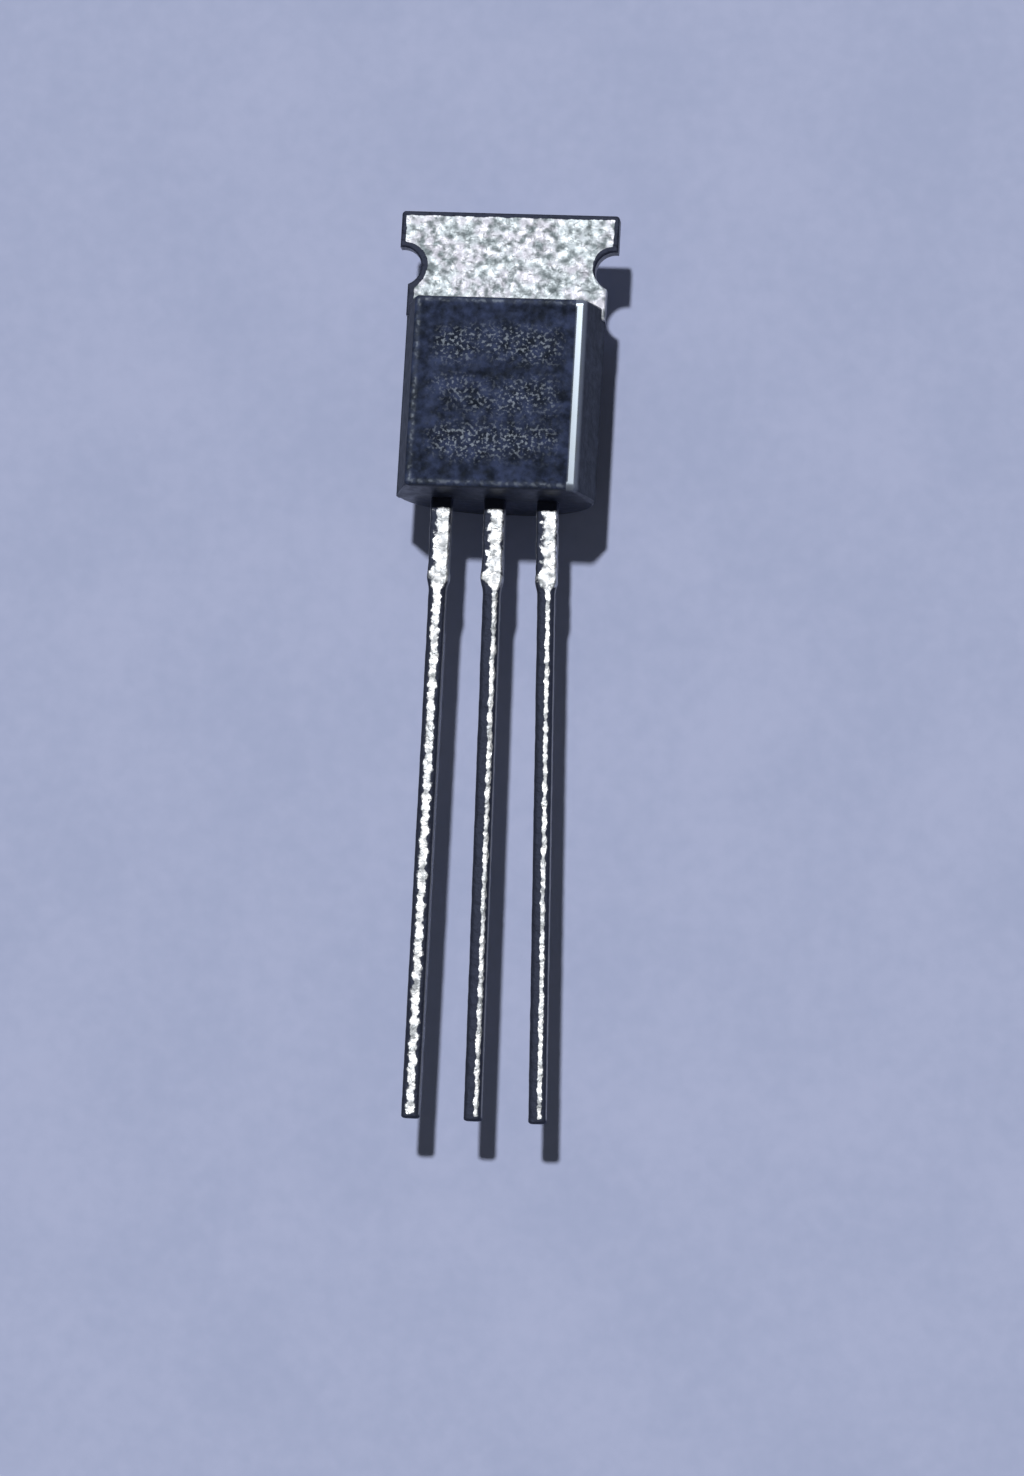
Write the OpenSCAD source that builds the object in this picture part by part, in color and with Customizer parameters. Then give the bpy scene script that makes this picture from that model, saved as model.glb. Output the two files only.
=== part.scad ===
// Three-lead transistor in a small moulded body, with a notched heat tab.
// It lies on its back with the front flat up, the tab toward +Y and the leads toward -Y.
// Millimetres. The origin is under the middle of the part, on the surface that it lies on.

/* [Moulded body] */
// Width across the parting line
body_w = 4.75; // [4.45:0.05:5.2]
// Height from the lead end to the tab end, on the parting line
body_h = 4.76; // [4.3:0.02:5.3]
// Width of the front flat, from edge to edge
face_w = 4.05; // [3.6:0.05:4.4]
// From the front flat to the middle of the sheet
face_depth = 1.27; // [1.15:0.01:1.45]
// From the middle of the sheet to the narrow flat along the round back
back_depth = 2.15; // [1.8:0.05:2.2]
// Width of the narrow flat along the round back
back_flat = 1.2; // [0.8:0.05:1.6]
// Draft angle of the end faces of the front half
face_draft = 3.5; // [1:0.5:7]
// Draft angle of the end faces of the back half
back_draft = 1.5; // [0.5:0.5:5]
// Radius along the edges of the front flat
face_round = 0.14; // [0.05:0.01:0.3]
// Step at the parting line, where the back half is a little smaller
parting_step = 0.02; // [0.01:0.01:0.05]

/* [Heat tab] */
// Thickness of the stamped sheet inside the body
sheet_t = 0.38; // [0.36:0.01:0.5]
// Solder coat on the sheet outside the body
coat_t = 0.015; // [0.005:0.005:0.04]
// Width of the tab across its ears
tab_w = 5.26; // [5:0.02:5.6]
// Height of the tab above the body
tab_h = 2.24; // [2.1:0.01:2.6]
// Radius of the round notch in each side
notch_r = 0.47; // [0.35:0.01:0.55]
// Centre of the notches below the tab's top edge
notch_drop = 1.36; // [1.2:0.01:1.5]
// Centre of a notch in from the edge of its ear
notch_inset = 0.06; // [0:0.01:0.15]
// How far the tab's foot stands out of each side of the body
foot_proud = 0.02; // [0.01:0.01:0.1]
// Depth of the tab's foot in the body
foot_set = 0.32; // [0.2:0.01:0.5]

/* [Leads] */
// Distance between neighbouring leads where they leave the body
lead_pitch = 1.27; // [1.2:0.01:1.35]
// Length of the leads below the body
lead_len = 14.75; // [12.7:0.05:16]
// Width of the long slim part of a lead
lead_w = 0.42; // [0.38:0.01:0.48]
// Radius along the corners of the slim part
lead_round = 0.13; // [0.05:0.01:0.18]
// Width of the shoulder of a lead, next to the body
shoulder_w = 0.51; // [0.48:0.01:0.65]
// Length of the shoulder below the body
shoulder_len = 1.95; // [1.5:0.05:2.5]
// Length of the taper from the shoulder to the slim part
taper_len = 0.3; // [0.1:0.05:0.5]
// How far below the body the leads are bent
bend_drop = 0.25; // [0.15:0.05:0.6]
// Sideways lean of the source lead, in degrees toward +X at its tip
source_lean = 0.4; // [-3:0.1:3]
// Sideways lean of the gate lead
gate_lean = 1.2; // [-3:0.1:3]
// Sideways lean of the drain lead
drain_lean = 2.2; // [-3:0.1:3]

/* [Inside the body] */
// Length of the lead posts in the body
post_h = 1.3; // [1.1:0.05:1.5]
// Width of the bonding head on a post
head_w = 0.95; // [0.7:0.05:1]
// Height of the bonding head
head_h = 0.55; // [0.4:0.05:0.7]
// Gap between the posts and the die pad
pad_gap = 0.3; // [0.2:0.05:0.5]
// Moulding between the die pad and the side of the body, next to the source lead
pad_wall = 0.45; // [0.35:0.05:0.9]
// Side of the square die
die_w = 1.3; // [1:0.05:1.6]
// Thickness of the die
die_t = 0.25; // [0.15:0.01:0.35]
// Diameter of the bond wires
wire_d = 0.08; // [0.05:0.005:0.1]
// Rise of a bond wire's arch above the line between its ends
wire_rise = 0.3; // [0.2:0.05:0.4]
// Diameter of the flattened bond at each end of a wire
bond_d = 0.2; // [0.15:0.01:0.25]
// Bonds on the die to either side of its middle
bond_x = 0.32; // [0.2:0.02:0.4]
// Bonds on the die in from its edge on the lead side
bond_inset = 0.22; // [0.15:0.01:0.3]

/* [Hidden] */
$fn = 64;

// How far a cutting outline runs past the shape that it trims
over = 1;
// Straight steps along each rounded corner of a slim lead
corner_steps = 5;

exposed_t = sheet_t + 2 * coat_t;
post_w = shoulder_w - 2 * coat_t;
slim_from = shoulder_len - bend_drop;

face_h = body_h - 2 * face_depth * tan(face_draft);
back_w = body_w - 2 * parting_step;
back_h = body_h - 2 * parting_step;
// Centre of the round back in front of the parting line, and its radius
back_middle = (pow(back_w / 2, 2) - pow(back_flat / 2, 2) - pow(back_depth, 2)) / (2 * back_depth);
back_r = norm([back_w / 2, back_middle]);

tab_top = body_h + tab_h;
notch_y = tab_top - notch_drop;
foot_w = body_w + 2 * foot_proud;
foot_y = body_h - foot_set;

pad_y = post_h + pad_gap;
pad_from = pad_wall - body_w / 2;
pad_to = lead_pitch + post_w / 2;
die_y = (pad_y + foot_y) / 2;
sheet_top = sheet_t / 2;
die_top = sheet_top + die_t;
die_bond_y = die_y - die_w / 2 + bond_inset;
head_y = post_h - head_h / 2;

metal = [0.76, 0.77, 0.78];
epoxy = [0.1, 0.1, 0.13];
silicon = [0.36, 0.38, 0.43];
aluminium = [0.85, 0.86, 0.88];

// Stands the part on its back, with the middle of its length over the origin
module place()
    translate([0, (lead_len - tab_top) / 2, back_depth])
        children();

// Turns a point of the flat sheet about the origin
function turned(p, angle) = [
    p.x * cos(angle) - p.y * sin(angle),
    p.x * sin(angle) + p.y * cos(angle)
];

// Outline of the front half of the moulding: drafted flanks and a flat with rounded edges
module drafted_front(base, top, rise, radius) {
    edge = [top / 2, rise];
    flank = [base / 2, 0] - edge;
    down = flank / norm(flank);
    setback = radius / tan(acos(-down.x) / 2);
    on_flat = edge - [setback, 0];
    on_flank = edge + setback * down;
    polygon([
        [-base / 2, 0], [base / 2, 0], on_flank, on_flat,
        [-on_flat.x, on_flat.y], [-on_flank.x, on_flank.y]
    ]);
    for (side = [-1, 1])
        translate([side * on_flat.x, rise - radius])
            circle(radius);
}

// Outline of the back half, seen from the lead end: a round back with a narrow flat
module round_back()
    intersection() {
        translate([0, back_middle])
            circle(back_r);
        translate([-back_w, -back_depth])
            square([2 * back_w, back_depth]);
    }

// Outline of the back half, seen from the side: drafted ends
module drafted_back() {
    depth = back_depth + over;
    end_half = back_h / 2 - depth * tan(back_draft);
    polygon([[-back_h / 2, 0], [back_h / 2, 0], [end_half, -depth], [-end_half, -depth]]);
}

// Runs an outline of X and Z along the body
module along_body()
    translate([0, body_h + over, 0])
        rotate([90, 0, 0])
            linear_extrude(body_h + 2 * over)
                children();

// Runs an outline of Y and Z across the body
module across_body()
    translate([0, body_h / 2, 0])
        rotate([90, 0, 90])
            linear_extrude(body_w + 2 * over, center = true)
                children();

module body_shape() {
    intersection() {
        along_body()
            drafted_front(body_w, face_w, face_depth, face_round);
        across_body()
            drafted_front(body_h, face_h, face_depth, face_round);
    }
    intersection() {
        along_body()
            round_back();
        across_body()
            drafted_back();
    }
}

// A flat piece of the sheet, about its middle plane
module sheet(thickness)
    linear_extrude(thickness, center = true)
        children();

// Outline of a lead from the body to the end of its taper, bent sideways at bend_drop
module shoulder_outline(lean) {
    half = shoulder_w / 2;
    mitre = turned([half / cos(lean / 2), 0], lean / 2);
    slim_y = -slim_from - taper_len;
    translate([0, -bend_drop])
        polygon([
            [-half, bend_drop], [half, bend_drop], mitre,
            turned([half, -slim_from], lean), turned([lead_w / 2, slim_y], lean),
            turned([-lead_w / 2, slim_y], lean), turned([-half, -slim_from], lean), -mitre
        ]);
}

// Section of a slim lead, with rounded corners
module slim_section() {
    inner = [lead_w / 2 - lead_round, exposed_t / 2 - lead_round];
    polygon([
        for (quarter = [0:3], step = [0:corner_steps])
            let (angle = 90 * (quarter + step / corner_steps))
            [
                (quarter == 0 || quarter == 3 ? inner.x : -inner.x) + lead_round * cos(angle),
                (quarter < 2 ? inner.y : -inner.y) + lead_round * sin(angle)
            ]
    ]);
}

// A lead outside the body
module lead_outside(lean) {
    sheet(exposed_t)
        shoulder_outline(lean);
    translate([0, -bend_drop, 0])
        rotate([90, 0, lean])
            translate([0, 0, slim_from])
                linear_extrude(lead_len - shoulder_len)
                    slim_section();
}

// A lead with its own post and bonding head
module posted_lead(lean) {
    lead_outside(lean);
    sheet(sheet_t) {
        translate([-post_w / 2, -bend_drop])
            square([post_w, post_h + bend_drop]);
        translate([-head_w / 2, post_h - head_h])
            square([head_w, head_h]);
    }
}

module tab_outline()
    difference() {
        union() {
            translate([-tab_w / 2, notch_y])
                square([tab_w, notch_drop]);
            translate([-foot_w / 2, body_h])
                square([foot_w, notch_y - body_h]);
        }
        for (side = [-1, 1])
            translate([side * (tab_w / 2 - notch_inset), notch_y])
                circle(notch_r);
    }

// The sheet inside the body: the tab's foot, the die pad and the neck of the drain lead
module pad_outline() {
    translate([-foot_w / 2, foot_y])
        square([foot_w, foot_set]);
    translate([pad_from, pad_y])
        square([pad_to - pad_from, foot_y - pad_y]);
    translate([lead_pitch - post_w / 2, -bend_drop])
        square([post_w, pad_y + bend_drop]);
}

module drain_shape() {
    sheet(exposed_t)
        tab_outline();
    sheet(sheet_t)
        pad_outline();
    translate([lead_pitch, 0, 0])
        lead_outside(drain_lean);
}

module gate_shape()
    posted_lead(gate_lean);

module source_shape()
    translate([-lead_pitch, 0, 0])
        posted_lead(source_lean);

module die_shape()
    translate([-die_w / 2, die_y - die_w / 2, sheet_top])
        cube([die_w, die_w, die_t]);

// A bond wire: a round arch between two flattened bonds
module wire_shape(on_die, on_post) {
    span = on_post - on_die;
    reach = norm(span);
    arch_r = (pow(reach / 2, 2) + pow(wire_rise, 2)) / (2 * wire_rise);
    half_turn = asin(reach / 2 / arch_r);
    for (end = [on_die, on_post])
        translate(end)
            cylinder(h = wire_d, d = bond_d);
    translate(on_die + [0, 0, wire_d / 2])
        rotate([0, -asin(span.z / reach), atan2(span.y, span.x)])
            translate([reach / 2, 0, wire_rise - arch_r])
                rotate([90, 0, 0])
                    rotate([0, 0, 90 - half_turn])
                        rotate_extrude(angle = 2 * half_turn)
                            translate([arch_r, 0])
                                circle(d = wire_d);
}

module gate_wire_shape()
    wire_shape([bond_x, die_bond_y, die_top], [0, head_y, sheet_top]);

module source_wire_shape()
    wire_shape([-bond_x, die_bond_y, die_top], [-lead_pitch, head_y, sheet_top]);

// The moulding closes round everything that it holds
module moulded_body()
    color(epoxy)
        place()
            difference() {
                body_shape();
                drain_shape();
                gate_shape();
                source_shape();
                die_shape();
                gate_wire_shape();
                source_wire_shape();
            }

module drain_frame()
    color(metal)
        place()
            drain_shape();

module gate_lead()
    color(metal)
        place()
            gate_shape();

module source_lead()
    color(metal)
        place()
            source_shape();

module silicon_die()
    color(silicon)
        place()
            die_shape();

module gate_bond_wire()
    color(aluminium)
        place()
            gate_wire_shape();

module source_bond_wire()
    color(aluminium)
        place()
            source_wire_shape();

moulded_body();
drain_frame();
gate_lead();
source_lead();
silicon_die();
gate_bond_wire();
source_bond_wire();
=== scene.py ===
"""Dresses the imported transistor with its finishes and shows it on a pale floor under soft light."""

import logging
import math
from collections.abc import Callable
from dataclasses import dataclass
from enum import Enum
from functools import partial

import bmesh
import bpy
import numpy as np
from mathutils import Euler, Matrix, Vector


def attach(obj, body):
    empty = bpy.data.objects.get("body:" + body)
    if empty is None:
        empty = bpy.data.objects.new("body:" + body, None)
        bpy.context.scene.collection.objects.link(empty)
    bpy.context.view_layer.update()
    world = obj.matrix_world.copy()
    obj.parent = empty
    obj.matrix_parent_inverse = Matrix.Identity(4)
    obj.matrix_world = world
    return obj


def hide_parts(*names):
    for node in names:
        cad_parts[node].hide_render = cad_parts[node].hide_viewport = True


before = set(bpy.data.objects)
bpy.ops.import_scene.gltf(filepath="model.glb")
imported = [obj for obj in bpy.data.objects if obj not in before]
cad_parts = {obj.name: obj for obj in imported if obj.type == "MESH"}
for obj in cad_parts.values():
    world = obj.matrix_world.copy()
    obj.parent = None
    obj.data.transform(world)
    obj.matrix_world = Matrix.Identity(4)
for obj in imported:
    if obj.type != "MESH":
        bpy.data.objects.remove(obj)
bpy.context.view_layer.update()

log = logging.getLogger("transistor")

# Sizes are in millimetres and the scene is in metres
MM = 0.001
# The middle of the lead sheet where the leads leave the body, in the part's frame
PLACE = np.array([0.0, 3.875, 2.15])

Colour = tuple[float, float, float]
Socket = bpy.types.NodeSocket


class Terminal(Enum):
    """The three leads by their place in the row, as steps of the lead pitch."""

    SOURCE = -1
    GATE = 0
    DRAIN = 1


def smooth(low: float, high: float, value: np.ndarray) -> np.ndarray:
    """Eases values from 0 at low to 1 at high."""
    t = np.clip((value - low) / (high - low), 0.0, 1.0)
    return t * t * (3 - 2 * t)


@dataclass(frozen=True)
class Blotches:
    """Soft noise cut into blotches that fade in between a low and a high value of the noise."""

    per_mm: float
    low: float
    high: float
    detail: float = 2.0
    fine: float = 0.5


class Bench:
    """A material under construction, with short ways to add and link its nodes."""

    def __init__(self, name: str) -> None:
        """Starts a material with one surface shader.

        Args:
            name: Name of the material.
        """
        self.material = bpy.data.materials.new(name)
        self.material.use_nodes = True
        self.tree = self.material.node_tree
        self.tree.nodes.clear()
        self.shader = self.tree.nodes.new("ShaderNodeBsdfPrincipled")
        output = self.tree.nodes.new("ShaderNodeOutputMaterial")
        self.tree.links.new(self.shader.outputs["BSDF"], output.inputs["Surface"])
        self.place = self.tree.nodes.new("ShaderNodeTexCoord").outputs["Object"]

    def feed(self, socket: Socket, value: Socket | float | tuple) -> None:
        """Links a node's output to a socket, or sets the socket's own value.

        Args:
            socket: The socket to fill.
            value: An output to link, or a plain value.
        """
        if isinstance(value, Socket):
            self.tree.links.new(value, socket)
        else:
            socket.default_value = value

    def noise(
        self, per_mm: float, detail: float = 2.0, stretch: Colour = (1, 1, 1), fine: float = 0.5) -> Socket:
        """Adds soft noise on the piece's own coordinates.

        Args:
            per_mm: Blotches in a millimetre.
            detail: How much finer noise is added on top.
            stretch: Factor on the number of blotches along each axis.
            fine: Strength of the finer noise.

        Returns:
            The noise, about 0.5 on average.
        """
        mapping = self.tree.nodes.new("ShaderNodeMapping")
        mapping.inputs["Scale"].default_value = [per_mm / MM * s for s in stretch]
        self.feed(mapping.inputs["Vector"], self.place)
        node = self.tree.nodes.new("ShaderNodeTexNoise")
        node.inputs["Scale"].default_value = 1.0
        node.inputs["Detail"].default_value = detail
        node.inputs["Roughness"].default_value = fine
        self.feed(node.inputs["Vector"], mapping.outputs["Vector"])
        return node.outputs["Fac"]

    def axis(self, name: str) -> Socket:
        """Gives one of the piece's own coordinates.

        Args:
            name: X, Y or Z.

        Returns:
            The coordinate, in metres.
        """
        node = self.tree.nodes.new("ShaderNodeSeparateXYZ")
        self.feed(node.inputs["Vector"], self.place)
        return node.outputs[name]

    def painted(self, name: str) -> Socket:
        """Gives a value that the mesh carries at its points.

        Args:
            name: Name of the mesh attribute.

        Returns:
            The value.
        """
        node = self.tree.nodes.new("ShaderNodeAttribute")
        node.attribute_name = name
        return node.outputs["Fac"]

    def sum(self, how: str, a: Socket | float, b: Socket | float = 0.0) -> Socket:
        """Adds a sum.

        Args:
            how: Blender's name of the operation.
            a: First value.
            b: Second value.

        Returns:
            The result.
        """
        node = self.tree.nodes.new("ShaderNodeMath")
        node.operation = how
        self.feed(node.inputs[0], a)
        self.feed(node.inputs[1], b)
        return node.outputs["Value"]

    def ease(self, value: Socket, low: float, high: float, start: float = 0.0, end: float = 1.0) -> Socket:
        """Eases a value from start at low to end at high.

        Args:
            value: Value to ease.
            low: Value that gives start.
            high: Value that gives end.
            start: First result.
            end: Last result.

        Returns:
            The eased value.
        """
        node = self.tree.nodes.new("ShaderNodeMapRange")
        node.interpolation_type = "SMOOTHSTEP"
        self.feed(node.inputs["Value"], value)
        node.inputs["From Min"].default_value = low
        node.inputs["From Max"].default_value = high
        node.inputs["To Min"].default_value = start
        node.inputs["To Max"].default_value = end
        return node.outputs["Result"]

    def blotches(self, kind: Blotches, start: float = 0.0, end: float = 1.0) -> Socket:
        """Gives start between the blotches and end on them."""
        field = self.noise(kind.per_mm, kind.detail, fine=kind.fine)
        return self.ease(field, kind.low, kind.high, start, end)

    def mix(self, share: Socket, a: Socket | float, b: Socket | float) -> Socket:
        """Mixes two values.

        Args:
            share: Share of b.
            a: Value at share 0.
            b: Value at share 1.

        Returns:
            The mixed value.
        """
        node = self.tree.nodes.new("ShaderNodeMix")
        self.feed(node.inputs["Factor"], share)
        self.feed(node.inputs["A"], a)
        self.feed(node.inputs["B"], b)
        return node.outputs["Result"]

    def tint(self, share: Socket, a: Socket | Colour, b: Socket | Colour) -> Socket:
        """Mixes two colours.

        Args:
            share: Share of b.
            a: Colour at share 0.
            b: Colour at share 1.

        Returns:
            The mixed colour.
        """
        node = self.tree.nodes.new("ShaderNodeMix")
        node.data_type = "RGBA"
        self.feed(node.inputs[0], share)
        self.feed(node.inputs[6], a if isinstance(a, Socket) else (*a, 1.0))
        self.feed(node.inputs[7], b if isinstance(b, Socket) else (*b, 1.0))
        return node.outputs[2]

    def relief(self, height: Socket, depth: float, under: Socket | None = None) -> Socket:
        """Raises the surface by a height between 0 and 1.

        Args:
            height: The height.
            depth: Millimetres at height 1.
            under: Relief that lies below this one.

        Returns:
            The normal to feed to the shader.
        """
        node = self.tree.nodes.new("ShaderNodeBump")
        node.inputs["Strength"].default_value = 1.0
        node.inputs["Distance"].default_value = depth * MM
        self.feed(node.inputs["Height"], height)
        if under is not None:
            self.feed(node.inputs["Normal"], under)
        return node.outputs["Normal"]

    def done(self, colour: Socket, rough: Socket, normal: Socket, metal: float) -> bpy.types.Material:
        """Feeds the shader.

        Args:
            colour: Base colour.
            rough: Roughness.
            normal: Normal with its relief.
            metal: 1 for bare metal, else 0.

        Returns:
            The finished material.
        """
        self.feed(self.shader.inputs["Base Color"], colour)
        self.feed(self.shader.inputs["Roughness"], rough)
        self.feed(self.shader.inputs["Normal"], normal)
        self.shader.inputs["Metallic"].default_value = metal
        return self.material


@dataclass(frozen=True)
class EpoxyFinish:
    """Charcoal moulding compound: matt grained faces, a polished rim with a painted highlight (a pale strip
    along the right edge, pale specks along the inner line elsewhere) and rows of worn pale flecks.
    """

    deep: Colour = (0.001, 0.003, 0.011)
    slate: Colour = (0.036, 0.05, 0.115)
    charcoal: Colour = (0.045, 0.053, 0.09)
    pale_fleck_and_glint: Colour = (0.28, 0.32, 0.38)
    glint: Colour = (0.78, 0.89, 1.0)
    matt: float = 0.95
    satin: float = 0.72
    smooth: float = 0.38
    polished: float = 0.24
    ends: tuple[float, float] = (3.965, 8.545)
    face_z: float = 3.39
    fleck_rows: tuple[float, ...] = (7.4, 6.18, 5.04)
    fleck_half: float = 0.66
    fleck_reach: float = 1.75
    fleck_fade: float = 0.6
    fleck_share: float = 0.75
    # Painted highlight: right of this x the rim is tinted pale as a continuous strip, by the share below
    glint_strip_x: float = 1.79
    rim_glint_share: float = 0.4
    fade: float = 0.03
    end_fade: float = 0.01
    clumps: Blotches = Blotches(0.8, 0.3, 0.6)
    specks: Blotches = Blotches(12.0, 0.5, 0.66)
    # Painted highlight: pale specks along the inner line of the rim
    glint_dots: Blotches = Blotches(8.0, 0.45, 0.66, 1.0)
    glint_dot_strength: tuple[float, float] = (0.16, 0.7)
    mottle: Blotches = Blotches(3.4, 0.28, 0.82, 4.0, 0.6)
    side_mottle: tuple[float, float] = (0.3, 0.7)
    sheen: Blotches = Blotches(5.0, 0.3, 0.7, 3.0)
    sheen_change: float = 0.07
    end_calm: float = 0.7
    swell_per_mm: float = 2.6
    swell_depth: float = 0.012
    grain_per_mm: float = 13.0
    grain_depth: float = 0.008

    def flecks(self, bench: Bench) -> Socket:
        """Scatters worn flecks in soft rows over the front flat.

        Args:
            bench: The material under construction.

        Returns:
            How strongly a fleck shows.
        """
        y, x = bench.axis("Y"), bench.axis("X")
        rows = None
        for middle in self.fleck_rows:
            off = bench.sum("ABSOLUTE", bench.sum("SUBTRACT", y, middle * MM))
            row = bench.ease(off, (self.fleck_half - self.fleck_fade) * MM, self.fleck_half * MM, 1.0, 0.0)
            rows = row if rows is None else bench.sum("ADD", rows, row)
        inside = bench.ease(
            bench.sum("ABSOLUTE", x), (self.fleck_reach - self.fleck_fade) * MM,
            self.fleck_reach * MM, 1.0, 0.0)
        clumps, specks = bench.blotches(self.clumps), bench.blotches(self.specks)
        field = bench.sum("MULTIPLY", rows, inside)
        return bench.sum("MULTIPLY", field, bench.sum("MULTIPLY", clumps, specks))

    def material(self) -> bpy.types.Material:
        """Builds the material.

        Returns:
            The finished material.
        """
        bench = Bench("moulding_epoxy")
        face = bench.ease(bench.axis("Z"), (self.face_z - self.fade) * MM, self.face_z * MM)
        flecks = bench.sum("MULTIPLY", self.flecks(bench), face)
        # Painted highlight: the polished rim is tinted pale, as a strip along the right edge and as specks
        # along the inner line elsewhere
        glint_strip = bench.ease(bench.axis("X"), self.glint_strip_x * MM, (self.glint_strip_x + self.fade) * MM)
        glint_dots = bench.blotches(self.glint_dots, *self.glint_dot_strength)
        rim = bench.sum(
            "MAXIMUM", bench.sum("MULTIPLY", bench.painted("rim"), glint_strip),
            bench.sum("MULTIPLY", bench.painted("line"), glint_dots))
        mottle = bench.blotches(self.mottle)
        mottle = bench.mix(face, bench.ease(mottle, 0.0, 1.0, *self.side_mottle), mottle)
        colour = bench.tint(mottle, self.deep, bench.tint(face, self.charcoal, self.slate))
        colour = bench.tint(bench.sum("MULTIPLY", flecks, self.fleck_share), colour, self.pale_fleck_and_glint)
        # Tints the rim pale as a painted highlight
        colour = bench.tint(bench.sum("MULTIPLY", rim, self.rim_glint_share), colour, self.pale_fleck_and_glint)
        y = bench.axis("Y")
        low, high = (
            bench.ease(y, (at - self.end_fade) * MM, (at + self.end_fade) * MM) for at in self.ends)
        end = bench.sum("MAXIMUM", bench.sum("SUBTRACT", 1.0, low), high)
        rough = bench.mix(end, bench.mix(face, self.satin, self.matt), self.smooth)
        sheen = bench.blotches(self.sheen, -self.sheen_change, self.sheen_change)
        rough = bench.sum("ADD", rough, sheen)
        rough = bench.mix(rim, rough, self.polished)
        still = bench.sum("MAXIMUM", rim, bench.sum("MULTIPLY", end, self.end_calm))
        lively = bench.sum("SUBTRACT", 1.0, still)
        swell = bench.sum("MULTIPLY", bench.noise(self.swell_per_mm, 3.0), lively)
        swell = bench.relief(swell, self.swell_depth)
        grain = bench.sum("MULTIPLY", bench.noise(self.grain_per_mm, 2.0), lively)
        grain = bench.relief(grain, self.grain_depth, swell)
        bench.shader.inputs["Specular Tint"].default_value = (*self.glint, 1.0)
        return bench.done(colour, rough, grain, 0.0)


@dataclass(frozen=True)
class TinFinish:
    """Solder-dipped metal: bright and speckled where the painted highlight lies; rougher on its flanks,
    rolled edges and cut ends, where painted shade stands in for darkening reflections.
    """

    name: str
    bright: Colour
    cloud: Colour
    crisp: float
    soft: float
    grain_per_mm: float
    grain_depth: float
    grain_detail: float
    grit: float
    ragged: float
    tarnish: Colour
    # Painted shade on the flanks and rolled edges, standing in for their darkening reflections; the cut ends
    # take it too
    shade_colour: Colour = (0.055, 0.064, 0.1)
    worn: Colour = (0.4, 0.41, 0.44)
    dull_rough: float = 0.76
    edge_per_mm: float = 5.5
    edge_fade: tuple[float, float] = (0.34, 0.54)
    clouds: Blotches = Blotches(4.6, 0.4, 0.68, 2.5)
    stains: Blotches = Blotches(1.9, 0.4, 0.62)
    sheen: Blotches = Blotches(5.5, 0.35, 0.65)
    grit_per_mm: float = 17.0

    def material(self) -> bpy.types.Material:
        """Builds the material.

        Returns:
            The finished material.
        """
        bench = Bench(self.name)
        edge = bench.sum("SUBTRACT", bench.noise(self.edge_per_mm, 3.0), 0.5)
        edge = bench.sum("ADD", bench.painted("dull_and_shade"), bench.sum("MULTIPLY", edge, self.ragged))
        # Mask of the painted shade on the flanks and edges, made ragged by noise
        dull_and_shade = bench.ease(edge, *self.edge_fade)
        clouds, stain = bench.blotches(self.clouds), bench.blotches(self.stains)
        colour = bench.tint(clouds, bench.tint(stain, self.bright, self.tarnish), self.cloud)
        colour = bench.tint(dull_and_shade, colour, self.shade_colour)
        colour = bench.tint(bench.painted("side"), colour, self.worn)
        rough = bench.blotches(self.sheen, self.crisp, self.soft)
        rough = bench.mix(dull_and_shade, rough, self.dull_rough)
        lumps = bench.relief(bench.noise(self.grain_per_mm, self.grain_detail), self.grain_depth)
        grit = bench.relief(bench.noise(self.grit_per_mm, 2.0), self.grit, lumps)
        return bench.done(colour, rough, grit, 1.0)


DIPPED = TinFinish(
    "dipped_tin", bright=(0.84, 0.85, 0.86), cloud=(0.36, 0.38, 0.4), tarnish=(0.76, 0.78, 0.81),
    crisp=0.48, soft=0.72, grain_per_mm=4.6, grain_depth=0.06, grain_detail=3.0, grit=0.01, ragged=1.2)
FROSTED = TinFinish(
    "frosted_tin", bright=(0.71, 0.77, 0.81), cloud=(0.24, 0.28, 0.3), tarnish=(0.74, 0.74, 0.81),
    crisp=0.62, soft=0.8, grain_per_mm=4.4, grain_depth=0.09, grain_detail=2.0, grit=0.006, ragged=1.2)


@dataclass(frozen=True)
class SiliconFinish:
    """A chip: blue-grey silicon with rows of small cells on its top."""

    silicon: Colour = (0.16, 0.18, 0.23)
    cell: Colour = (0.45, 0.46, 0.47)
    cells_per_mm: float = 9.0

    def material(self) -> bpy.types.Material:
        """Builds the material.

        Returns:
            The finished material.
        """
        bench = Bench("silicon_chip")
        pitch = 2 * math.pi * self.cells_per_mm / MM
        waves = [bench.sum("SINE", bench.sum("MULTIPLY", bench.axis(name), pitch)) for name in ("X", "Y")]
        cells = bench.ease(bench.sum("MULTIPLY", *waves), 0.1, 0.4)
        colour = bench.tint(cells, self.silicon, self.cell)
        rough = bench.mix(cells, 0.12, 0.3)
        return bench.done(colour, rough, bench.relief(cells, 0.002), 0.0)


@dataclass(frozen=True)
class WireFinish:
    """Soft aluminium wire with faint marks of its drawing die."""

    clean: Colour = (0.84, 0.85, 0.87)
    grey: Colour = (0.62, 0.63, 0.65)

    def material(self) -> bpy.types.Material:
        """Builds the material.

        Returns:
            The finished material.
        """
        bench = Bench("bond_wire_aluminium")
        marks = bench.noise(40.0, 2.0, (1.0, 0.15, 1.0))
        colour = bench.tint(bench.ease(marks, 0.35, 0.7), self.clean, self.grey)
        rough = bench.ease(marks, 0.3, 0.7, 0.25, 0.4)
        return bench.done(colour, rough, bench.relief(marks, 0.002), 1.0)


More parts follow.
